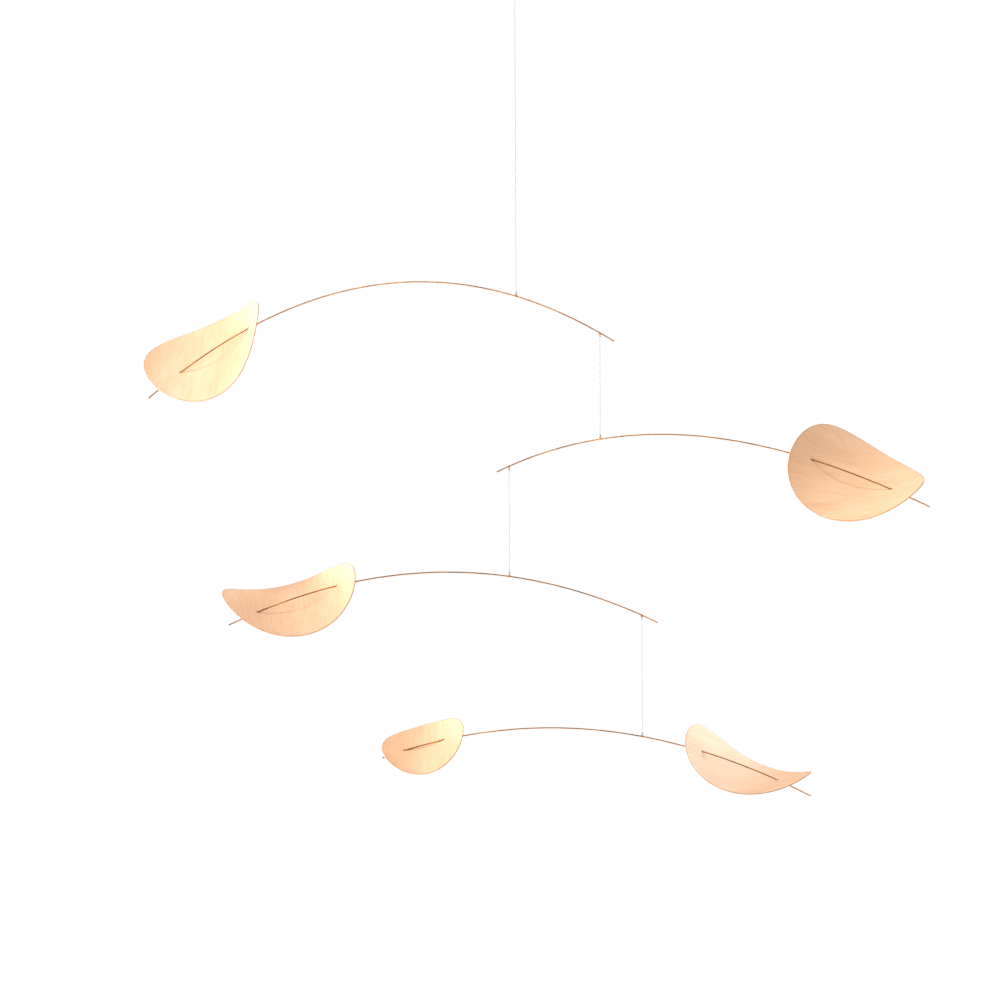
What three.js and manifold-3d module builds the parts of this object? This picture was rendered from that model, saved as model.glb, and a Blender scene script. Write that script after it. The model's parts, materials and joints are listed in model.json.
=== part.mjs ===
// A hanging mobile: four arched wire arms, one below the other on white threads, carry five
// bent wooden leaves. Millimetres, +Z up. The origin is the inside top of the thread loop
// that the mobile hangs by. +X is to the right and +Y away from whoever looks at the leaves.

import * as THREE from "three";
import { mergeVertices } from "three/addons/utils/BufferGeometryUtils.js";
import Module from "manifold-3d";

const wasm = await Module();
wasm.setup();

// Stock that the mobile is made from.
const wireDiameter = 1.2;
const wireSides = 8;
const wireSteps = 52;
const threadDiameter = 0.6;
const threadSides = 8;
const threadSteps = 16;
const veneerThickness = 0.8;
const gap = 0.3; // between pieces that touch

// The thread loop at the top, tied off with a knot.
const loopHeight = 18; // from the hook down to the middle of the knot
const loopWidth = 8;
const loopSteps = 26;
const knotDiameter = 2.2;
const knotLength = 3;

// Small rings on the wires that the threads are tied to.
const eyeRadius = 0.9; // to the middle of the ring's own wire
const eyeWireRadius = 0.35;
const eyeRise = 1.05; // from the arm's centre line to the ring's centre
const eyeReach = eyeRise + eyeRadius + eyeWireRadius;

// The flat leaf is an egg. Its narrow end points outwards along the arm, its long axis is
// turned a little from the line of the two holes, and its centre lies off their midpoint.
const largePlan = {
  halfLength: 70.5,
  halfWidth: 62,
  taper: 0.15,
  turn: -14.5,
  centre: [5.5, -1],
  holeSpacing: 82,
};
const smallPlan = {
  ...largePlan,
  halfLength: 43,
  halfWidth: 42,
  centre: [-0.5, 2.5],
  holeSpacing: 39.5,
};
const leafSlices = 48;
const outlinePoints = 720;

// Each arm is one smooth arch in an upright plane, turned by yaw about its own thread. Its two
// ends are given from the point where it hangs: reach sideways, drop, and slope at the tip.
// nextAt is where the thread of the arm below is tied, and length is that thread's length
// from wire to wire. A leaf's at is its place along the arm, from the thread. bendRadius and
// bendTurn give the cylinder that the leaf is bent to, bendTurn being the angle from the line
// of holes to the direction that curves. lean tips its top edge back from upright.
const topThread = 315.5;
const arms = [
  {
    name: "arm_top",
    yaw: -7,
    left: { reach: 361, drop: 94, slope: 0.82 },
    right: { reach: 93.5, drop: 44, slope: 0.63 },
    leaves: [{ name: "leaf_top", plan: largePlan, at: -295, bendRadius: 88, bendTurn: -16, lean: 50.5 }],
    nextAt: 80,
    threadBelow: { name: "thread_upper", length: 101 },
  },
  {
    name: "arm_upper",
    yaw: -11,
    left: { reach: 100.5, drop: 30.5, slope: 0.47 },
    right: { reach: 308, drop: 65.5, slope: 0.49 },
    leaves: [{ name: "leaf_upper", plan: largePlan, at: 236, bendRadius: 79, bendTurn: -13.5, lean: 52 }],
    nextAt: -88.5,
    threadBelow: { name: "thread_middle", length: 105.5 },
  },
  {
    name: "arm_lower",
    yaw: 14.5,
    left: { reach: 270, drop: 42, slope: 0.46 },
    right: { reach: 149.5, drop: 47, slope: 0.48 },
    leaves: [{ name: "leaf_lower", plan: largePlan, at: -205.5, bendRadius: 83, bendTurn: -8, lean: 72 }],
    nextAt: 133,
    threadBelow: { name: "thread_lower", length: 118 },
  },
  {
    name: "arm_bottom",
    yaw: -1,
    left: { reach: 253.5, drop: 20.5, slope: 0.36 },
    right: { reach: 163.5, drop: 58.5, slope: 0.52 },
    leaves: [
      { name: "leaf_bottom", plan: largePlan, at: 94.5, bendRadius: 82, bendTurn: -17, lean: 77 },
      { name: "leaf_small", plan: smallPlan, at: -212.5, bendRadius: 84, bendTurn: -6.5, lean: 62 },
    ],
  },
];

const wireMaterial = new THREE.MeshStandardMaterial({ color: 0x9a6a3c, roughness: 0.35, metalness: 1 });
const threadMaterial = new THREE.MeshStandardMaterial({ color: 0xeeeeea, roughness: 0.85, metalness: 0 });
const veneerMaterial = new THREE.MeshStandardMaterial({ color: 0xe9c79c, roughness: 0.55, metalness: 0 });

function toSolid(geometry) {
  const bare = geometry.clone();
  bare.deleteAttribute("normal");
  bare.deleteAttribute("uv");
  const merged = mergeVertices(bare, 1e-4);
  return new wasm.Manifold(
    new wasm.Mesh({
      numProp: 3,
      vertProperties: merged.attributes.position.array,
      triVerts: new Uint32Array(merged.index.array),
    }),
  );
}

function toGeometry(solid) {
  const { vertProperties, triVerts } = solid.getMesh();
  const geometry = new THREE.BufferGeometry();
  geometry.setAttribute("position", new THREE.BufferAttribute(vertProperties, 3));
  geometry.setIndex(new THREE.BufferAttribute(triVerts, 1));
  geometry.computeVertexNormals();
  return geometry;
}

// A round bar swept along a curve.
function sweep(curve, diameter, sides, steps) {
  const corners = Array.from({ length: sides }, (_, i) => {
    const angle = (2 * Math.PI * i) / sides;
    return new THREE.Vector2(Math.cos(angle), Math.sin(angle)).multiplyScalar(diameter / 2);
  });
  const section = new THREE.Shape(corners);
  return new THREE.ExtrudeGeometry(section, { steps, extrudePath: curve, bevelEnabled: false });
}

// The arm's centre line. Its inner handles lie at thirds of the span, so the curve's
// parameter grows evenly with the distance sideways.
function armCurve({ left, right }) {
  const third = (left.reach + right.reach) / 3;
  const handles = [
    [-left.reach, -left.drop],
    [-left.reach + third, -left.drop + third * left.slope],
    [right.reach - third, -right.drop + third * right.slope],
    [right.reach, -right.drop],
  ];
  const curve = new THREE.CubicBezierCurve3(...handles.map(([x, z]) => new THREE.Vector3(x, 0, z)));
  const height = curve.getPoint(left.reach / (3 * third)).z;
  [curve.v0, curve.v1, curve.v2, curve.v3].forEach((handle) => (handle.z -= height));
  return curve;
}

// The point of the wire at a distance x sideways from the thread.
function pointAt(curve, x) {
  return curve.getPoint((x - curve.v0.x) / (curve.v3.x - curve.v0.x));
}

// The ring that a thread is tied to, above the wire (side 1) or below it (side -1).
function eye(curve, x, side) {
  const ring = new THREE.TorusGeometry(eyeRadius, eyeWireRadius, 8, 14);
  ring.rotateX(Math.PI / 2);
  const { z } = pointAt(curve, x);
  return ring.translate(x, 0, z + side * eyeRise);
}

function armGeometry(arm, curve) {
  let solid = toSolid(sweep(curve, wireDiameter, wireSides, wireSteps)).add(toSolid(eye(curve, 0, 1)));
  if (arm.threadBelow) solid = solid.add(toSolid(eye(curve, arm.nextAt, -1)));
  return toGeometry(solid);
}

function threadGeometry(top, bottom) {
  const line = new THREE.LineCurve3(new THREE.Vector3(0, 0, top), new THREE.Vector3(0, 0, bottom));
  return sweep(line, threadDiameter, threadSides, threadSteps);
}

// Bends a point of the flat leaf onto its cylinder: the leaf curves along the direction
// turned by bendTurn, stays straight across it, and its ends rise towards +Z.
function bend({ bendRadius, bendTurn }, x, y, out) {
  const turn = THREE.MathUtils.degToRad(bendTurn);
  const along = x * Math.cos(turn) + y * Math.sin(turn);
  const across = y * Math.cos(turn) - x * Math.sin(turn);
  const angle = along / bendRadius;
  const radius = bendRadius - out;
  const bent = new THREE.Vector3(radius * Math.sin(angle), across, bendRadius - radius * Math.cos(angle));
  return bent.applyAxisAngle(new THREE.Vector3(0, 0, 1), turn);
}

// The flat outline, as points [along, across] in the directions of the bend.
function flatOutline({ plan, bendTurn }) {
  const tilt = THREE.MathUtils.degToRad(plan.turn);
  const centre = new THREE.Vector2(...plan.centre);
  const origin = new THREE.Vector2();
  return Array.from({ length: outlinePoints }, (_, i) => {
    const angle = (2 * Math.PI * i) / outlinePoints;
    const width = plan.halfWidth * (1 - plan.taper * Math.cos(angle));
    return new THREE.Vector2(plan.halfLength * Math.cos(angle), width * Math.sin(angle))
      .rotateAround(origin, tilt)
      .add(centre)
      .rotateAround(origin, -THREE.MathUtils.degToRad(bendTurn));
  });
}

// The two ends of the straight line that crosses the leaf at one place along the bend.
function crossing(outline, along) {
  const ends = [];
  outline.forEach((point, i) => {
    const next = outline[(i + 1) % outline.length];
    if (point.x < along !== next.x < along) {
      ends.push(THREE.MathUtils.mapLinear(along, point.x, next.x, point.y, next.y));
    }
  });
  return ends.sort((a, b) => a - b);
}

// The bent leaf as a closed sheet of veneer: straight lines across it, close together
// towards the two ends, joined by strips on both faces and round the edge.
function leafGeometry(leaf) {
  const outline = flatOutline(leaf);
  const turn = THREE.MathUtils.degToRad(leaf.bendTurn);
  const reaches = outline.map((point) => point.x);
  const first = outline[reaches.indexOf(Math.min(...reaches))];
  const last = outline[reaches.indexOf(Math.max(...reaches))];
  const origin = new THREE.Vector2();
  const positions = [];
  const slices = [];
  for (let i = 0; i <= leafSlices; i++) {
    const share = (1 - Math.cos((Math.PI * i) / leafSlices)) / 2;
    const along = THREE.MathUtils.lerp(first.x, last.x, share);
    const atTip = i === 0 || i === leafSlices;
    const ends = atTip ? [i === 0 ? first.y : last.y] : crossing(outline, along);
    const corners = ends.flatMap((across) => {
      const flat = new THREE.Vector2(along, across).rotateAround(origin, turn);
      return [-1, 1].map((side) => {
        const point = bend(leaf, flat.x, flat.y, (side * veneerThickness) / 2);
        return positions.push(point.x, point.y, point.z) / 3 - 1;
      });
    });
    slices.push(atTip ? [...corners, ...corners] : corners);
  }
  const index = [];
  const quad = (a, b, c, d) => {
    if (a !== b && b !== c && a !== c) index.push(a, b, c);
    if (a !== c && c !== d && a !== d) index.push(a, c, d);
  };
  for (let i = 0; i < leafSlices; i++) {
    const [lowBack, lowFront, highBack, highFront] = slices[i];
    const [nextLowBack, nextLowFront, nextHighBack, nextHighFront] = slices[i + 1];
    quad(lowFront, nextLowFront, nextHighFront, highFront);
    quad(lowBack, highBack, nextHighBack, nextLowBack);
    quad(lowBack, nextLowBack, nextLowFront, lowFront);
    quad(highBack, highFront, nextHighFront, nextHighBack);
  }
  const geometry = new THREE.BufferGeometry();
  geometry.setAttribute("position", new THREE.Float32BufferAttribute(positions, 3));
  geometry.setIndex(index);
  return geometry;
}

// The frame of the leaf's two holes in its bent state: the midpoint, the direction from the
// inner hole to the outer one, the direction up the leaf and the way its hollow faces.
function holeFrame(leaf) {
  const half = leaf.plan.holeSpacing / 2;
  const outer = bend(leaf, half, 0, 0);
  const inner = bend(leaf, -half, 0, 0);
  const along = outer.clone().sub(inner);
  const spacing = along.length();
  along.normalize();
  const up = new THREE.Vector3(0, 1, 0).projectOnPlane(along).normalize();
  const hollow = along.clone().cross(up);
  const middle = outer.add(inner).multiplyScalar(0.5);
  return { spacing, matrix: new THREE.Matrix4().makeBasis(along, up, hollow).setPosition(middle) };
}

// Where the leaf sits on its arm: the wire runs through both holes, the narrow end points
// outwards and the top edge leans back. The leaf on a left side is the same leaf, turned
// half round in its own plane.
function leafSeat(leaf, curve) {
  const { spacing, matrix } = holeFrame(leaf);
  const side = Math.sign(leaf.at);
  let half = spacing / 2;
  let outer;
  let inner;
  for (let round = 0; round < 6; round++) {
    outer = pointAt(curve, leaf.at + side * half);
    inner = pointAt(curve, leaf.at - side * half);
    half *= spacing / outer.distanceTo(inner);
  }
  const along = outer.clone().sub(inner).normalize();
  const back = new THREE.Vector3(0, 1, 0);
  const rise = back.clone().cross(along).multiplyScalar(-side);
  const lean = THREE.MathUtils.degToRad(leaf.lean);
  const up = rise.clone().multiplyScalar(Math.cos(lean)).addScaledVector(back, Math.sin(lean));
  const leafUp = up.multiplyScalar(side);
  const hollow = along.clone().cross(leafUp);
  const seat = new THREE.Matrix4().makeBasis(along, leafUp, hollow);
  seat.setPosition(outer.add(inner).multiplyScalar(0.5));
  return seat.multiply(matrix.invert());
}

// Cuts the two holes, each wider than the wire by a gap all round.
function drill(geometry, seat, curve) {
  const placed = toSolid(geometry.applyMatrix4(seat));
  const drillBit = toSolid(sweep(curve, wireDiameter + 2 * gap, wireSides, wireSteps));
  return toGeometry(placed.subtract(drillBit));
}

// The loop at the top: the thread turns back on itself and both ends go into the knot.
function loopGeometry() {
  const half = loopWidth / 2;
  const top = threadDiameter / 2;
  const turn = new THREE.CatmullRomCurve3(
    [
      [0, -loopHeight],
      [-half * 0.55, -loopHeight * 0.72],
      [-half, -loopHeight * 0.36],
      [-half * 0.72, -loopHeight * 0.1],
      [0, top],
      [half * 0.72, -loopHeight * 0.1],
      [half, -loopHeight * 0.36],
      [half * 0.55, -loopHeight * 0.72],
      [0, -loopHeight],
    ].map(([x, z]) => new THREE.Vector3(x, 0, z)),
  );
  const knot = new THREE.SphereGeometry(knotDiameter / 2, 12, 8);
  knot.rotateX(Math.PI / 2).scale(1, 1, knotLength / knotDiameter).translate(0, 0, -loopHeight);
  return toGeometry(toSolid(sweep(turn, threadDiameter, threadSides, loopSteps)).add(toSolid(knot)));
}

function addMesh(group, name, geometry, material) {
  const mesh = new THREE.Mesh(geometry, material);
  mesh.name = name;
  group.add(mesh);
  return mesh;
}

const mobile = new THREE.Group();
addMesh(mobile, "hanging_loop", loopGeometry(), threadMaterial);
const firstThread = threadGeometry(-loopHeight - knotLength / 2 - gap, -topThread + eyeReach + gap);
addMesh(mobile, "thread_top", firstThread, threadMaterial);

// Each arm hangs from the one above, so the point it hangs from is carried down.
const hangPoint = new THREE.Vector3(0, 0, -topThread);
for (const arm of arms) {
  const curve = armCurve(arm);
  const group = new THREE.Group();
  group.position.copy(hangPoint);
  group.rotation.z = THREE.MathUtils.degToRad(arm.yaw);
  mobile.add(group);
  addMesh(group, arm.name, armGeometry(arm, curve), wireMaterial);
  for (const leaf of arm.leaves) {
    addMesh(group, leaf.name, drill(leafGeometry(leaf), leafSeat(leaf, curve), curve), veneerMaterial);
  }
  if (arm.threadBelow) {
    const { name, length } = arm.threadBelow;
    const tie = pointAt(curve, arm.nextAt);
    const thread = threadGeometry(-eyeReach - gap, -length + eyeReach + gap);
    addMesh(group, name, thread, threadMaterial).position.copy(tie);
    hangPoint.add(tie.setZ(tie.z - length).applyAxisAngle(new THREE.Vector3(0, 0, 1), group.rotation.z));
  }
}

export default mobile;
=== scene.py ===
import json
import math

import bmesh
import bpy
import numpy as np
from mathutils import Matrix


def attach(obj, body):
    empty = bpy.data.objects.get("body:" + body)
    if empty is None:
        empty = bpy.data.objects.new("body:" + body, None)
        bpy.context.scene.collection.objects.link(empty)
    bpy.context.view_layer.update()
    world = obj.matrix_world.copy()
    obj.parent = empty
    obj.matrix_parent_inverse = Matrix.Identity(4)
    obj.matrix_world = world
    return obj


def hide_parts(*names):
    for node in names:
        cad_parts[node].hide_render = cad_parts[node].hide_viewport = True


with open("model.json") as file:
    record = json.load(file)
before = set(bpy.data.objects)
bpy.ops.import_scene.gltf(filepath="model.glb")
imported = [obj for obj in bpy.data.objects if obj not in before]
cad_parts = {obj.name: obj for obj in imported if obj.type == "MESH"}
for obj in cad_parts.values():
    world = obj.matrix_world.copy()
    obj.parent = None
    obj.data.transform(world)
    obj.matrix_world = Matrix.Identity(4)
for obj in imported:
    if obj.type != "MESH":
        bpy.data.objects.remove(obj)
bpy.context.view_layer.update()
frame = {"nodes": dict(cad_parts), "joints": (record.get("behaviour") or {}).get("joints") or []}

mm = 0.001
swivels = {joint["child"]: np.array(joint["pos_m"]) / mm for joint in frame["joints"]}
print("frame loaded:", len(frame["nodes"]), "nodes,", len(swivels), "swivels")


# Camera: level, in front of the mobile, a trifle tilted to one side as a hand-held one is.
view = {
    "place": (-0.0161, -2.2, -0.51),
    "width": 0.955,  # of the mobile's plane that fills the picture, metres
    "roll": 0.25,  # degrees
    "sensor": 36.0,
}


def makeCamera():
    data = bpy.data.cameras.new("camera")
    data.sensor_width = view["sensor"]
    data.lens = view["sensor"] * -view["place"][1] / view["width"]
    camera = bpy.data.objects.new("camera", data)
    camera.location = view["place"]
    camera.rotation_euler = (math.pi / 2, math.radians(view["roll"]), 0)
    bpy.context.scene.collection.objects.link(camera)
    bpy.context.scene.camera = camera


makeCamera()
print("camera ready")


# sRGB hex to linear colour: c / 12.92 up to 0.04045, ((c + 0.055) / 1.055) ** 2.4 above it.
def linear(code):
    channels = np.array([int(code[i:i + 2], 16) for i in (0, 2, 4)]) / 255
    curved = ((channels + 0.055) / 1.055) ** 2.4
    return (*np.where(channels <= 0.04045, channels / 12.92, curved).tolist(), 1.0)


# Adds a node with its own settings, the values of its sockets and the links into them.
def addNode(tree, kind, values=None, links=None, **settings):
    made = tree.nodes.new("ShaderNode" + kind)
    for name, value in settings.items():
        setattr(made, name, value)
    for socket, value in (values or {}).items():
        made.inputs[socket].default_value = value
    for socket, source in (links or {}).items():
        tree.links.new(source, made.inputs[socket])
    return made


# An empty material with its shader joined to the output.
def newMaterial(name, **values):
    material = bpy.data.materials.new(name)
    material.use_nodes = True
    tree = material.node_tree
    tree.nodes.clear()
    sockets = {key.replace("_", " "): value for key, value in values.items()}
    shader = addNode(tree, "BsdfPrincipled", sockets)
    addNode(tree, "OutputMaterial", links={"Surface": shader.outputs[0]})
    return material, tree, shader


# Joins surfaces into one mesh. Each is a grid of points in millimetres, closed round its
# rows, with the grid of its own unbent coordinates and whether its rows also close in a
# loop. Rows that shrink to one point become poles. An end row that doesn't shrink stays
# open, and the faces of such a surface may point inwards. The unbent coordinates are kept
# as a vertex attribute if it is named.
def meshFromGrids(name, surfaces, coordinates=None):
    points, unbent, faces = [], [], []
    start = 0
    for grid, own, loop in surfaces:
        rows, columns = grid.shape[:2]
        row = np.arange(rows if loop else rows - 1)[:, None]
        column = np.arange(columns)[None, :]
        nextRow = (row + 1) % rows
        nextColumn = (column + 1) % columns
        corners = [
            row * columns + column,
            row * columns + nextColumn,
            nextRow * columns + nextColumn,
            nextRow * columns + column,
        ]
        faces.append(np.stack(corners, -1).reshape(-1, 4) + start)
        points.append(grid.reshape(-1, 3))
        unbent.append(own.reshape(-1, 3))
        start += rows * columns
    points, unbent, faces = map(np.concatenate, (points, unbent, faces))
    mesh = bpy.data.meshes.new(name)
    mesh.vertices.add(len(points))
    mesh.vertices.foreach_set("co", (points * mm).ravel())
    mesh.loops.add(faces.size)
    mesh.loops.foreach_set("vertex_index", faces.ravel())
    mesh.polygons.add(len(faces))
    mesh.polygons.foreach_set("loop_start", np.arange(0, faces.size, 4))
    mesh.update(calc_edges=True)
    if coordinates:
        setAttribute(mesh, coordinates, unbent)
    merged = bmesh.new()
    merged.from_mesh(mesh)
    bmesh.ops.remove_doubles(merged, verts=merged.verts, dist=1e-7)
    bmesh.ops.recalc_face_normals(merged, faces=merged.faces)
    merged.to_mesh(mesh)
    merged.free()
    mesh.shade_smooth()
    return mesh


# Stores one number or one vector for each vertex.
def setAttribute(mesh, name, values):
    kind, field = ("FLOAT_VECTOR", "vector") if values.ndim == 2 else ("FLOAT", "value")
    made = mesh.attributes.new(name, kind, "POINT")
    made.data.foreach_set(field, values.astype(np.float32).ravel())


# Makes the object of a piece, which moves with its body and stands for a CAD node if named.
def addPiece(mesh, material, body, node=None):
    piece = bpy.data.objects.new(mesh.name, mesh)
    bpy.context.scene.collection.objects.link(piece)
    mesh.materials.append(material)
    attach(piece, body)
    if node:
        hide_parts(node)
    return piece


def unit(vectors):
    return vectors / np.linalg.norm(vectors, axis=-1, keepdims=True)


# A tube: path(s) + r(s, a) * (cos a * side + sin a * up), where a goes round, side is square
# to the path and nearest to the given reference, and up is square to both. Its unbent
# coordinates are (s, r cos a, r sin a), s being the length along the path.
def tube(path, radius, reference, sides, loop=False, ply=None):
    if loop:
        tangent = unit(np.roll(path, -1, 0) - np.roll(path, 1, 0))
    else:
        tangent = unit(np.gradient(path, axis=0))
    reference = np.broadcast_to(reference, path.shape)
    along = (reference * tangent).sum(-1, keepdims=True)
    side = unit(reference - along * tangent)
    up = np.cross(tangent, side)
    steps = np.linalg.norm(np.diff(path, axis=0), axis=1)
    length = np.concatenate([[0], np.cumsum(steps)])[:, None]
    angle = np.linspace(0, 2 * np.pi, sides, endpoint=False)[None, :]
    radius = np.broadcast_to(np.reshape(radius, (-1, 1)), (len(path), sides))
    if ply:
        radius = radius * plyOutline(angle - 2 * np.pi * length / ply["lay"], ply)
    across = radius * np.cos(angle)
    rise = radius * np.sin(angle)
    grid = path[:, None] + across[..., None] * side[:, None] + rise[..., None] * up[:, None]
    own = np.stack(np.broadcast_arrays(length, across, rise), -1)
    return grid, own, loop


# Threads: three plies of pale polyester, twisted together.
thread = {
    "diameter": 0.6,
    "plies": 3,
    "groove": 0.22,  # how deep the lines between the plies are, as a share of the radius
    "lay": 3.0,  # length of one full turn of a ply
    "sides": 24,
    "step": 0.16,
    "knot": 0.27,  # scale of the knots
    "knotRise": 3.4,  # from the arm's wire to the middle of the knot
    "turnReach": 0.72,  # how far the turn through a ring bulges to each side
    "pathPoints": 17,
}


# Radius round a laid thread: full on each ply and lower by the groove between two,
# 1 - groove * (1 - |cos(plies * angle / 2)|).
def plyOutline(angle, ply):
    ridge = np.abs(np.cos(ply["plies"] * angle / 2))
    return 1 - ply["groove"] * (1 - ridge)


def yarn(path, reference, loop=False):
    return tube(path, thread["diameter"] / 2, reference, thread["sides"], loop, thread)


# A pulled overhand knot: the trefoil (sin t + 2 sin 2t, cos t - 2 cos 2t, -sin 3t), turned
# upright with its thickness along Y. The tube's side faces away from the knot's middle, and
# a little to the back, so that it never points along the path.
def knot(centre):
    t = np.linspace(0, 2 * np.pi, 120, endpoint=False)
    wide = np.sin(t) + 2 * np.sin(2 * t)
    high = np.cos(t) - 2 * np.cos(2 * t)
    path = thread["knot"] * np.stack([wide, -np.sin(3 * t), high], -1)
    return yarn(path + centre, path + [0, 0.4, 0], loop=True)


# The turn of thread through a ring: an ellipse in the plane square to the arm, from the
# ring's inside to the knot. side is 1 above the wire and -1 below it.
def ringTurn(tie, yaw, side):
    t = np.linspace(0, 2 * np.pi, 72, endpoint=False)
    low = eye["rise"] + eye["radius"] - eye["wire"] - thread["diameter"] / 2
    high = thread["knotRise"]
    across = thread["turnReach"] * np.sin(t)
    height = (low + high) / 2 - (high - low) / 2 * np.cos(t)
    turn = math.radians(yaw)
    path = np.stack([-across * math.sin(turn), across * math.cos(turn), side * height], -1)
    return yarn(path + tie, [math.cos(turn), math.sin(turn), 0], loop=True)


# Arms: brass wire drawn to one thickness, cut, and bent into flat arches. Each end is given
# from the point where the arm hangs, as reach sideways, drop, and slope at the tip.
wire = {
    "diameter": 1.2,
    "sides": 20,
    "step": 1.4,
    "solder": 0.16,  # how far the solder swells the wire under a ring
    "solderReach": 1.3,
    "fineReach": 3,  # how far on each side of a ring the tube has closer rings
}
# Rings that the threads are tied to, rise being from the arm's wire to the ring's centre.
eye = {
    "radius": 0.9,
    "wire": 0.35,
    "rise": 1.05,
    "sides": 14,
}
arms = {
    "top": {
        "yaw": -7,
        "left": {"reach": 361, "drop": 94, "slope": 0.82},
        "right": {"reach": 93.5, "drop": 44, "slope": 0.63},
        "nextAt": 80,
        "threadBelow": "thread_upper",
    },
    "upper": {
        "yaw": -11,
        "left": {"reach": 100.5, "drop": 30.5, "slope": 0.47},
        "right": {"reach": 308, "drop": 65.5, "slope": 0.49},
        "nextAt": -88.5,
        "threadBelow": "thread_middle",
    },
    "lower": {
        "yaw": 14.5,
        "left": {"reach": 270, "drop": 42, "slope": 0.46},
        "right": {"reach": 149.5, "drop": 47, "slope": 0.48},
        "nextAt": 133,
        "threadBelow": "thread_lower",
    },
    "bottom": {
        "yaw": -1,
        "left": {"reach": 253.5, "drop": 20.5, "slope": 0.36},
        "right": {"reach": 163.5, "drop": 58.5, "slope": 0.52},
    },
}
tiers = list(arms)


# The arch's height over x: a cubic in the share t of the span that has the drops and slopes
# of both ends, less its value where the arm hangs.
def archHeight(arm, x):
    left, right = arm["left"], arm["right"]
    span = left["reach"] + right["reach"]
    handles = [
        -left["drop"],
        -left["drop"] + span / 3 * left["slope"],
        -right["drop"] + span / 3 * right["slope"],
        -right["drop"],
    ]

    def cubic(t):
        weights = [(1 - t) ** 3, 3 * t * (1 - t) ** 2, 3 * t * t * (1 - t), t ** 3]
        return sum(weight * handle for weight, handle in zip(weights, handles))

    return cubic((x + left["reach"]) / span) - cubic(left["reach"] / span)


# Points of an arm's centre line at distances x from its thread, before it is turned.
def archPoints(arm, x):
    x = np.asarray(x, float)
    return np.stack([x, np.zeros_like(x), archHeight(arm, x)], -1)


# A tier's yaw as a matrix that rows of points are multiplied by.
def yawMatrix(tier):
    turn = math.radians(arms[tier]["yaw"])
    return np.array([
        [math.cos(turn), math.sin(turn), 0],
        [-math.sin(turn), math.cos(turn), 0],
        [0, 0, 1],
    ])


# Turns points of a tier by its yaw and hangs them from its swivel.
def hang(tier, points):
    return points @ yawMatrix(tier) + swivels[tier + "_tier"]


# The way back, from the mobile's own place to the arm's plane.
def unhang(tier, points):
    return (points - swivels[tier + "_tier"]) @ yawMatrix(tier).T


# Puts a tube of an arm, made in the arm's own plane, in its place.
def hangTube(tier, surface):
    grid, own, loop = surface
    return hang(tier, grid), own, loop


# The wire: a tube round the arch whose radius falls to nothing in a half circle at each end
# and swells by solder * exp(-(d / solderReach) ** 2) at a distance d from a ring.
def armSurfaces(tier):
    arm = arms[tier]
    reach = (-arm["left"]["reach"], arm["right"]["reach"])
    tip = wire["diameter"] / 2
    rounding = tip * (1 - np.cos(np.linspace(0, np.pi / 2, 7)))[:-1]
    middle = np.linspace(reach[0] + tip, reach[1] - tip, int((reach[1] - reach[0]) / wire["step"]))
    ties = [(0, 1)]
    if "threadBelow" in arm:
        ties.append((arm["nextAt"], -1))
    near = [at + np.linspace(-wire["fineReach"], wire["fineReach"], 25) for at, _ in ties]
    middle = np.unique(np.concatenate([middle, *near]))
    x = np.concatenate([reach[0] + rounding, middle, (reach[1] - rounding)[::-1]])
    inset = np.minimum(x - reach[0], reach[1] - x).clip(0, tip)
    radius = np.sqrt(tip ** 2 - (tip - inset) ** 2)
    for at, _ in ties:
        radius = radius + wire["solder"] * np.exp(-((x - at) / wire["solderReach"]) ** 2)
    surfaces = [tube(archPoints(arm, x), radius, [0, 1, 0], wire["sides"])]
    for at, side in ties:
        t = np.linspace(0, 2 * np.pi, 48, endpoint=False)
        circle = eye["radius"] * np.stack([np.cos(t), np.zeros_like(t), np.sin(t)], -1)
        centre = archPoints(arm, at) + [0, 0, side * eye["rise"]]
        surfaces.append(tube(centre + circle, eye["wire"], [0, 1, 0], eye["sides"], loop=True))
    return [hangTube(tier, surface) for surface in surfaces]


# A thread, straight from the knot under the arm or loop above it to the knot that it holds.
# The straight part of a thread. Its two ends are open, in the middles of its knots.
def threadSurface(top, bottom):
    count = int((top[2] - bottom[2]) / thread["step"])
    path = np.linspace(top, bottom, count)
    return yarn(path, [1, 0, 0])


# The loop at the top: a teardrop, x = 1.3 * width / 2 * sin t * cos(t / 2), with its height
# falling as (1 - cos t) / 2 from the top to the knot. sin t * cos(t / 2) is 1 / 1.3 at most.
hanging = {
    "height": 18,
    "width": 8,
}


def loopSurfaces():
    t = np.linspace(-np.pi, np.pi, 260, endpoint=False)
    top = thread["diameter"] / 2
    wide = 1.3 * hanging["width"] / 2 * np.sin(t) * np.cos(t / 2)
    high = top - (hanging["height"] + top) * (1 - np.cos(t)) / 2
    path = np.stack([wide, np.zeros_like(t), high], -1)
    return [yarn(path, [0, 1, 0], loop=True), knot([0, 0, -hanging["height"]])]


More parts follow.
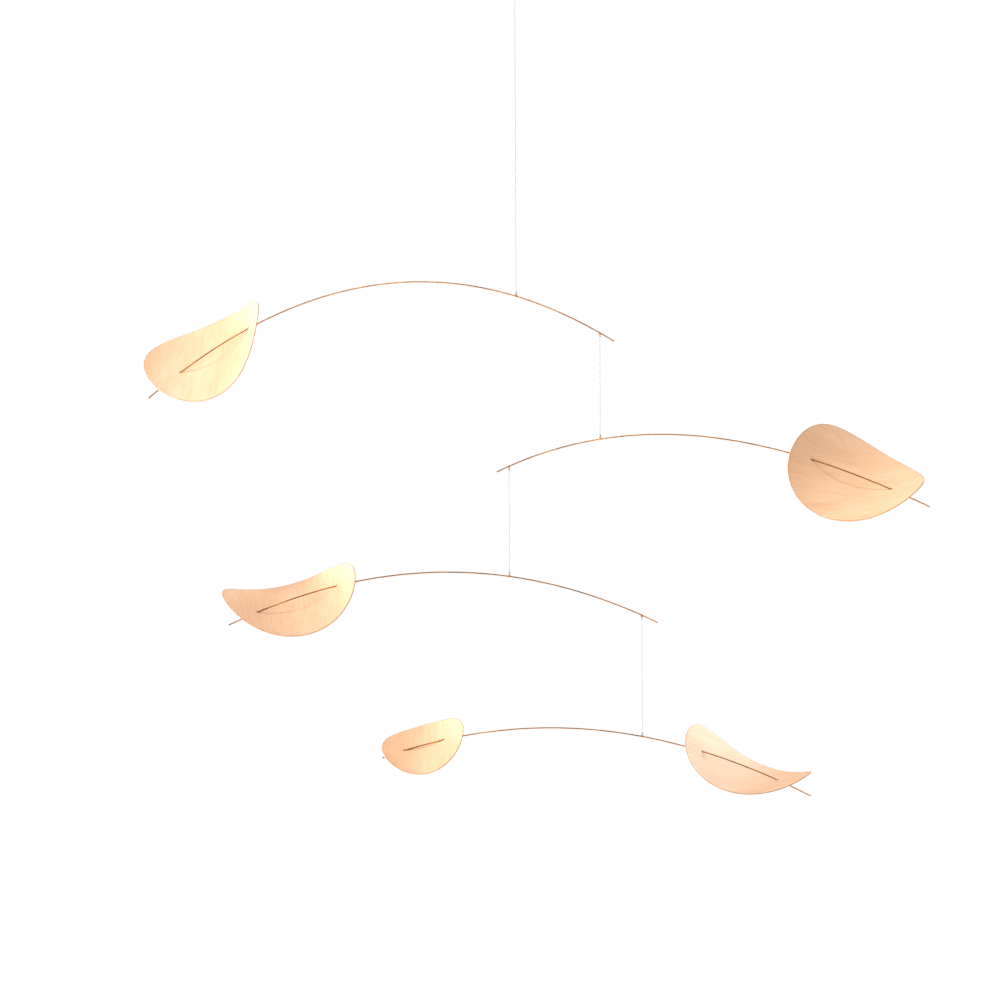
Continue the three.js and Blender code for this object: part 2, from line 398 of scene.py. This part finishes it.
# Each thread ends in a knot and a turn through a ring. They move with the arm that has the
# ring, so at a thread's lower end they are a piece of their own.
def makeThreads(material):
    def add(name, surfaces, body, node=None):
        return addPiece(meshFromGrids(name, surfaces, "strand"), material, body, node)

    loop = add("hanging_loop_yarn", loopSurfaces(), "hanger", "hanging_loop")
    rise = np.array([0, 0, thread["knotRise"]])
    for tier, below in zip(["hanger", *tiers], tiers):
        arm = arms.get(tier)
        tie = swivels[below + "_tier"]
        bottom = tie + rise
        turn = ringTurn(tie, arms[below]["yaw"], 1)
        add("tie_" + below, [knot(bottom), turn], below + "_tier")
        if arm:
            node, body, farEnd, onIt = arm["threadBelow"], tier + "_tier", "object", ()
            tie = hang(tier, archPoints(arm, arm["nextAt"]))
            top = tie - rise
            surfaces = [knot(top), ringTurn(tie, arm["yaw"], -1)]
        else:
            node, body, farEnd, onIt = "thread_top", "hanger", "knot", [loop]
            top = np.array([0, 0, -hanging["height"]])
            surfaces = []
        piece = add(node + "_yarn", [threadSurface(top, bottom), *surfaces], body, node)


# Polyester thread, spun and laid: matt, with a soft rim of loose fibre. Its grey colour is
# painted shade: it is drawn greyer than such white thread is, because a white one this thin is
# lost on the white ground. The fibres are thousandths of a millimetre thick, so they are drawn at 0.12
# mm.
def threadMaterial():
    material, tree, shader = newMaterial(
        "polyesterThread", Roughness=0.82, Sheen_Weight=0.35, Sheen_Roughness=0.5
    )
    strand = addNode(tree, "Attribute", attribute_name="strand")
    stretch = addNode(tree, "Mapping", {"Scale": (0.5, 8, 8)}, {"Vector": strand.outputs["Vector"]})
    fibre = addNode(tree, "TexNoise", {"Scale": 1, "Detail": 3}, {"Vector": stretch.outputs[0]})
    # the thread's grey colour: painted shade on a white thread
    colour = addNode(
        tree,
        "Mix",
        {"A": linear("8A8882"), "B": linear("A9A7A1")},
        {"Factor": fibre.outputs["Fac"]},
        data_type="RGBA",
    )
    relief = {"Strength": 0.4, "Distance": 0.05 * mm}
    bump = addNode(tree, "Bump", relief, {"Height": fibre.outputs["Fac"]})
    tree.links.new(colour.outputs[2], shader.inputs["Base Color"])
    tree.links.new(bump.outputs[0], shader.inputs["Normal"])
    return material


makeThreads(threadMaterial())
print("threads ready")


# Brass wire, drawn through a die and handled: a satin warm gold with brown, duller patches
# of tarnish and fine lines along it. The die's lines are hundredths of a millimetre wide, so
# they are drawn at 0.15 mm. The patches are about 20 mm long, with smaller ones in them.
def wireMaterial():
    material, tree, shader = newMaterial("drawnBrass", Metallic=1.0)
    drawn = addNode(tree, "Attribute", attribute_name="drawn")
    long = addNode(tree, "Mapping", {"Scale": (0.045, 0.5, 0.5)}, {"Vector": drawn.outputs["Vector"]})
    patchy = {"Scale": 1, "Detail": 4, "Roughness": 0.6}
    patch = addNode(tree, "TexNoise", patchy, {"Vector": long.outputs[0]})
    tarnish = addNode(
        tree, "MapRange", {"From Min": 0.38, "From Max": 0.66}, {"Value": patch.outputs["Fac"]}
    )
    colour = addNode(
        tree,
        "Mix",
        {"A": linear("BE8438"), "B": linear("6A452C")},
        {"Factor": tarnish.outputs[0]},
        data_type="RGBA",
    )
    fine = addNode(tree, "Mapping", {"Scale": (0.2, 7, 7)}, {"Vector": drawn.outputs["Vector"]})
    line = addNode(tree, "TexNoise", {"Scale": 1, "Detail": 2}, {"Vector": fine.outputs[0]})
    relief = {"Strength": 0.35, "Distance": 0.02 * mm}
    bump = addNode(tree, "Bump", relief, {"Height": line.outputs["Fac"]})
    rough = addNode(
        tree, "MapRange", {"To Min": 0.28, "To Max": 0.5}, {"Value": tarnish.outputs[0]}
    )
    tree.links.new(colour.outputs[2], shader.inputs["Base Color"])
    tree.links.new(rough.outputs[0], shader.inputs["Roughness"])
    tree.links.new(bump.outputs[0], shader.inputs["Normal"])
    return material


brass = wireMaterial()
for tierName in tiers:
    armMesh = meshFromGrids("arm_" + tierName + "_wire", armSurfaces(tierName), "drawn")
    addPiece(armMesh, brass, tierName + "_tier", "arm_" + tierName)
print("arms ready")


# Leaves: eggs cut from a sheet of birch veneer and bent to cylinders. The narrow end points
# outwards along the arm, the long axis is turned a little from the line of the two holes,
# and the centre lies off their midpoint.
veneer = {
    "thickness": 0.8,
    "corner": 0.16,
    "rings": 36,
    "columns": 288,
    "drillGap": 0.3,  # between the wire and the hole's wall
    "drillPast": 8,  # how far the bit runs on past each hole
    "sharpAngle": 35,  # degrees between faces from which an edge is drawn sharp
}
largePlan = {
    "halfLength": 70.5,
    "halfWidth": 62,
    "taper": 0.15,
    "turn": -14.5,
    "centre": (5.5, -1),
    "holeSpacing": 82,
}
smallPlan = {
    **largePlan,
    "halfLength": 43,
    "halfWidth": 42,
    "centre": (-0.5, 2.5),
    "holeSpacing": 39.5,
}
# at is the place along the arm, bendRadius and bendTurn give the cylinder and the direction
# that curves, lean tips the top edge back. grain is the way that the wood's grain runs from
# the line of the holes, cutAt the place on the sheet that the leaf was cut from, and tone
# how pale its wood is.
leaves = {
    "leaf_top": {
        "tier": "top", "plan": largePlan, "at": -295, "bendRadius": 88, "bendTurn": -16, "lean": 50.5,
        "grain": 70, "cutAt": (0, 0), "tone": 1.0,
    },
    "leaf_upper": {
        "tier": "upper", "plan": largePlan, "at": 236, "bendRadius": 79, "bendTurn": -13.5, "lean": 52,
        "grain": 27, "cutAt": (310, 40), "tone": 1.16,
    },
    "leaf_lower": {
        "tier": "lower", "plan": largePlan, "at": -205.5, "bendRadius": 83, "bendTurn": -8, "lean": 72,
        "grain": 78, "cutAt": (620, 190), "tone": 0.97,
    },
    "leaf_bottom": {
        "tier": "bottom", "plan": largePlan, "at": 94.5, "bendRadius": 82, "bendTurn": -17, "lean": 77,
        "grain": 35, "cutAt": (60, 400), "tone": 0.96,
    },
    "leaf_small": {
        "tier": "bottom", "plan": smallPlan, "at": -212.5, "bendRadius": 84, "bendTurn": -6.5, "lean": 62,
        "grain": 80, "cutAt": (480, 520), "tone": 0.93,
    },
}


# Turns flat points (x, y) by an angle in degrees.
def turned(x, y, degrees):
    angle = math.radians(degrees)
    return x * math.cos(angle) - y * math.sin(angle), x * math.sin(angle) + y * math.cos(angle)


# The egg: (a cos t, b sin t * (1 - taper * cos t)).
def egg(plan, t):
    across = plan["halfWidth"] * np.sin(t) * (1 - plan["taper"] * np.cos(t))
    return plan["halfLength"] * np.cos(t), across


# Bends flat points: the length u along the bend becomes the angle u / R round the cylinder,
# at the radius R - out, and the length across it stays straight.
def bend(leaf, x, y, out):
    along, across = turned(x, y, -leaf["bendTurn"])
    angle = along / leaf["bendRadius"]
    radius = leaf["bendRadius"] - out
    curved, straight = turned(radius * np.sin(angle), across, leaf["bendTurn"])
    rise = leaf["bendRadius"] - radius * np.cos(angle)
    return np.stack(np.broadcast_arrays(curved, straight, rise), -1)


# The way back: u = R * atan2(x, R - z), and out = R less the distance from the axis.
def unbend(leaf, points):
    bent, across = turned(points[:, 0], points[:, 1], -leaf["bendTurn"])
    fall = leaf["bendRadius"] - points[:, 2]
    along = leaf["bendRadius"] * np.arctan2(bent, fall)
    x, y = turned(along, across, leaf["bendTurn"])
    return x, y, leaf["bendRadius"] - np.hypot(bent, fall)


# A place as a 4 by 4 matrix from three axes and a middle.
def basis(*columns):
    matrix = np.eye(4)
    matrix[:3] = np.stack(columns, -1)
    return matrix


# Where the leaf sits in its arm's plane: the wire runs through both holes, and the leaf on
# a left side is the same leaf turned half round in its own plane.
def leafSeat(leaf):
    arm = arms[leaf["tier"]]
    side = math.copysign(1, leaf["at"])
    half = leaf["plan"]["holeSpacing"] / 2
    outer, inner = bend(leaf, half, 0, 0), bend(leaf, -half, 0, 0)
    spacing = np.linalg.norm(outer - inner)
    along = (outer - inner) / spacing
    up = unit(np.array([0, 1, 0]) - along[1] * along)
    own = basis(along, up, np.cross(along, up), (outer + inner) / 2)
    half = spacing / 2
    for _ in range(6):
        outer, inner = archPoints(arm, [leaf["at"] + side * half, leaf["at"] - side * half])
        half *= spacing / np.linalg.norm(outer - inner)
    along = unit(outer - inner)
    back = np.array([0, 1, 0])
    rise = -side * np.cross(back, along)
    lean = math.radians(leaf["lean"])
    leafUp = side * (math.cos(lean) * rise + math.sin(lean) * back)
    seat = basis(along, leafUp, np.cross(along, leafUp), (outer + inner) / 2)
    return seat @ np.linalg.inv(own)


def applyMatrix(matrix, points):
    return points @ matrix[:3, :3].T + matrix[:3, 3]


# The leaf's skin, as one profile carried round the egg: from the middle of the hollow face
# out to the edge, over two rounded corners, and back to the middle of the other face. Rings
# close up towards the edge as 1 - (1 - s) ** 2.
def leafSurface(leaf):
    plan = leaf["plan"]
    half, corner = veneer["thickness"] / 2, veneer["corner"]
    share = 1 - (1 - np.linspace(0, 1, veneer["rings"], endpoint=False)) ** 2
    arc = np.linspace(np.pi / 2, 0, 5)
    cornerInset = corner * (1 - np.cos(arc))
    cornerOut = half - corner + corner * np.sin(arc)
    ones = np.ones_like(arc)
    share = np.concatenate([share, ones, ones, share[::-1]])[:, None]
    flat = np.zeros(veneer["rings"])
    inset = np.concatenate([flat + corner, cornerInset, cornerInset[::-1], flat + corner])[:, None]
    out = np.concatenate([flat + half, cornerOut, -cornerOut[::-1], flat - half])[:, None]
    t = np.linspace(0, 2 * np.pi, veneer["columns"], endpoint=False)[None, :]
    x, y = egg(plan, t)
    reach = share * (1 - inset / np.hypot(x, y))
    x, y = turned(reach * x, reach * y, plan["turn"])
    out = np.broadcast_to(out, x.shape)
    points = bend(leaf, x + plan["centre"][0], y + plan["centre"][1], out)
    placed = hang(leaf["tier"], applyMatrix(leafSeat(leaf), points))
    return placed, points, False


# How far flat points are from the cut edge: the egg's reach in the point's direction less
# the point's own distance from the middle, or the distance to the nearer hole if less. A
# hole is taken as round and as wide as two wires, because the bit goes through at a slant.
def edgeDistance(plan, x, y):
    t = np.linspace(-np.pi, np.pi, 721)
    eggX, eggY = egg(plan, t)
    ownX, ownY = turned(x - plan["centre"][0], y - plan["centre"][1], -plan["turn"])
    reach = np.interp(np.arctan2(ownY, ownX), np.arctan2(eggY, eggX), np.hypot(eggX, eggY))
    rim = reach - np.hypot(ownX, ownY)
    hole = np.hypot(np.abs(x) - plan["holeSpacing"] / 2, y) - wire["diameter"]
    return np.minimum(rim, hole).clip(0)


# Cuts the two holes with a bit that follows the wire, wider than it by the gap all round.
def drillLeaf(mesh, leaf):
    arm = arms[leaf["tier"]]
    reach = leaf["plan"]["holeSpacing"] / 2 + veneer["drillPast"]
    x = np.linspace(leaf["at"] - reach, leaf["at"] + reach, 60)
    radius = np.full(len(x), wire["diameter"] / 2 + veneer["drillGap"])
    radius[[0, -1]] = 0
    bitTube = tube(archPoints(arm, x), radius, [0, 1, 0], 28)
    bitMesh = meshFromGrids("bit", [hangTube(leaf["tier"], bitTube)])
    bit = bpy.data.objects.new("bit", bitMesh)
    blank = bpy.data.objects.new("blank", mesh)
    for each in (bit, blank):
        bpy.context.scene.collection.objects.link(each)
    cut = blank.modifiers.new("holes", "BOOLEAN")
    cut.operation = "DIFFERENCE"
    cut.solver = "EXACT"
    cut.object = bit
    cutLeaf = blank.evaluated_get(bpy.context.evaluated_depsgraph_get())
    drilled = bpy.data.meshes.new_from_object(cutLeaf)
    for each in (bit, blank):
        bpy.data.objects.remove(each)
    return drilled


# A leaf's attributes: its place on the sheet of veneer along and across the grain, with its
# depth; its distance from the cut edge; and its tone.
def makeLeaf(name, leaf, material):
    mesh = drillLeaf(meshFromGrids("blank", [leafSurface(leaf)]), leaf)
    mesh.name = name + "_veneer"
    points = np.empty(len(mesh.vertices) * 3, np.float32)
    mesh.vertices.foreach_get("co", points)
    local = unhang(leaf["tier"], points.reshape(-1, 3) / mm)
    x, y, out = unbend(leaf, applyMatrix(np.linalg.inv(leafSeat(leaf)), local))
    along, across = turned(x, y, -leaf["grain"])
    cutX, cutY = leaf["cutAt"]
    setAttribute(mesh, "sheet", np.stack([along + cutX, across + cutY, out], -1))
    setAttribute(mesh, "edge", edgeDistance(leaf["plan"], x, y))
    setAttribute(mesh, "tone", np.full(len(x), leaf["tone"]))
    mesh.set_sharp_from_angle(angle=math.radians(veneer["sharpAngle"]))
    addPiece(mesh, material, leaf["tier"] + "_tier", name)


# Birch veneer, peeled from the log, sanded, cut with a hot beam and left nearly bare: pale
# cream with fine fibre streaks, wandering growth lines, small flecks, a dull satin face and
# scorched brown edges. Single fibres are about 0.05 mm wide, so they are drawn as streaks
# about 2 mm wide and 30 mm long, with finer ones in them.
def veneerMaterial():
    material, tree, shader = newMaterial("birchVeneer", IOR=1.5)
    place = addNode(tree, "Attribute", attribute_name="sheet").outputs["Vector"]

    def noise(scale, detail, roughness=0.5, distortion=0.0):
        mapped = addNode(tree, "Mapping", {"Scale": scale}, {"Vector": place})
        values = {"Scale": 1, "Detail": detail, "Roughness": roughness, "Distortion": distortion}
        return addNode(tree, "TexNoise", values, {"Vector": mapped.outputs[0]}).outputs["Fac"]

    def ranged(source, low, high, toLow=0.0, toHigh=1.0):
        values = {"From Min": low, "From Max": high, "To Min": toLow, "To Max": toHigh}
        return addNode(tree, "MapRange", values, {"Value": source}).outputs[0]

    def blend(first, second, factor):
        values, links = {}, {"Factor": factor}
        for socket, colour in (("A", first), ("B", second)):
            if isinstance(colour, str):
                values[socket] = linear(colour)
            else:
                links[socket] = colour
        return addNode(tree, "Mix", values, links, data_type="RGBA").outputs[2]

    cloud = noise((0.012, 0.035, 0.03), 3)
    fibre = noise((0.03, 0.55, 0.3), 5, 0.65)
    fleck = noise((0.09, 1.1, 0.5), 3, 0.6)
    # growth lines: contours of a slowly varying height, dark where it nears a whole number
    height = noise((0.004, 0.016, 0.01), 2, 0.45, 0.4)
    raised = addNode(tree, "Math", {1: 9.0}, {0: height}, operation="MULTIPLY")
    contour = addNode(tree, "Math", {1: 0.5}, {0: raised.outputs[0]}, operation="PINGPONG")
    growth = ranged(contour.outputs[0], 0.0, 0.06, 1.0, 0.0)
    base = blend("E7B68D", "F2C69F", ranged(cloud, 0.3, 0.7))
    base = blend(base, "D9A074", ranged(fibre, 0.48, 0.75, 0.0, 0.55))
    base = blend(base, "D09A6E", ranged(growth, 0.0, 1.0, 0.0, 0.2))
    base = blend(base, "B98457", ranged(fleck, 0.66, 0.8, 0.0, 0.5))
    edge = addNode(tree, "Attribute", attribute_name="edge")
    scorch = ranged(edge.outputs["Fac"], 0.1, 0.9, 0.85, 0.0)
    base = blend(base, "A26C3F", scorch)
    tone = addNode(tree, "Attribute", attribute_name="tone")
    toned = addNode(
        tree, "VectorMath", links={0: base, "Scale": tone.outputs["Fac"]}, operation="SCALE"
    )
    tree.links.new(toned.outputs[0], shader.inputs["Base Color"])
    tree.links.new(ranged(fibre, 0.2, 0.8, 0.46, 0.6), shader.inputs["Roughness"])
    bump = addNode(tree, "Bump", {"Strength": 0.25, "Distance": 0.05 * mm}, {"Height": fibre})
    tree.links.new(bump.outputs[0], shader.inputs["Normal"])
    return material


birch = veneerMaterial()
for leafName, leafSizes in leaves.items():
    makeLeaf(leafName, leafSizes, birch)
print("leaves ready")


# Studio: a white floor far below, even white surroundings, two large soft boxes on the left,
# two weaker ones on the right, and a small lamp overhead that throws the wires' shadows.
# turn and rise say where each lamp stands round the centre, in degrees, and power is in watts.
studio = {
    "centre": (0.0, 0.0, -0.55),
    "floor": -2.2,
    "floorRadius": 14.0,
    "surround": 0.65,  # strength of the surroundings as light
    "lamps": [
        {
            "name": "softBox", "turn": -120, "rise": -13, "distance": 2.6, "size": 1.7,
            "power": 285, "colour": "F5EFFF",
        },
        {"name": "frontBox", "turn": -50, "rise": -13, "distance": 2.6, "size": 1.7, "power": 85},
        {"name": "overhead", "turn": -70, "rise": 70, "distance": 2.2, "size": 0.35, "power": 24},
        {"name": "rightFill", "turn": 106, "rise": -22, "distance": 2.0, "size": 1.0, "power": 27},
        {"name": "backFill", "turn": 147, "rise": 5, "distance": 2.4, "size": 1.4, "power": 41},
    ],
}


# Mixes two shaders: one that lights the scene, and one that is all the camera sees.
def seenAs(tree, lighting, seen):
    ray = addNode(tree, "LightPath").outputs["Is Camera Ray"]
    links = {0: ray, 1: lighting.outputs[0], 2: seen.outputs[0]}
    return addNode(tree, "MixShader", links=links).outputs[0]


# Seen directly, the floor is as white as the surroundings, so thin wires still show on it.
def floorMaterial():
    material, tree, shader = newMaterial("paintedFloor", Roughness=0.9)
    place = addNode(tree, "TexCoord").outputs["Object"]
    speckle = addNode(tree, "TexNoise", {"Scale": 30, "Detail": 4}, {"Vector": place})
    colour = addNode(
        tree,
        "Mix",
        {"A": linear("F2F2F1"), "B": linear("F8F8F7")},
        {"Factor": speckle.outputs["Fac"]},
        data_type="RGBA",
    )
    tree.links.new(colour.outputs[2], shader.inputs["Base Color"])
    plain = addNode(tree, "Emission", {"Color": linear("FFFFFF"), "Strength": 1.0})
    output = tree.nodes["Material Output"].inputs["Surface"]
    tree.links.new(seenAs(tree, shader, plain), output)
    return material


# The floor: rings of points round the middle, (r cos t, r sin t), at one height.
def makeFloor():
    t = np.linspace(0, 2 * np.pi, 96, endpoint=False)
    rings = studio["floorRadius"] * np.linspace(0, 1, 12)[:, None]
    x, y = rings * np.cos(t), rings * np.sin(t)
    grid = np.stack([x, y, np.full_like(x, studio["floor"])], -1) / mm
    mesh = meshFromGrids("floor", [(grid, grid, False)])
    mesh.materials.append(floorMaterial())
    floor = bpy.data.objects.new("floor", mesh)
    bpy.context.scene.collection.objects.link(floor)


def makeSurroundings():
    world = bpy.data.worlds.new("studio")
    bpy.context.scene.world = world
    world.use_nodes = True
    tree = world.node_tree
    tree.nodes.clear()
    white = linear("FFFFFF")
    lighting = addNode(tree, "Background", {"Color": white, "Strength": studio["surround"]})
    seen = addNode(tree, "Background", {"Color": white, "Strength": 1.0})
    addNode(tree, "OutputWorld", links={"Surface": seenAs(tree, lighting, seen)})


def makeLamp(lamp):
    data = bpy.data.lights.new(lamp["name"], "AREA")
    data.size = lamp["size"]
    data.energy = lamp["power"]
    data.color = linear(lamp.get("colour", "FFFFFF"))[:3]
    made = bpy.data.objects.new(lamp["name"], data)
    turn, rise = math.radians(lamp["turn"]), math.radians(lamp["rise"])
    level = math.cos(rise)
    away = np.array([level * math.sin(turn), -level * math.cos(turn), math.sin(rise)])
    made.location = np.array(studio["centre"]) + lamp["distance"] * away
    made.rotation_euler = (math.pi / 2 - rise, 0, turn)
    made.visible_camera = False
    bpy.context.scene.collection.objects.link(made)


makeFloor()
makeSurroundings()
for lampSizes in studio["lamps"]:
    makeLamp(lampSizes)
bpy.context.scene.view_settings.view_transform = "Standard"
print("studio ready")
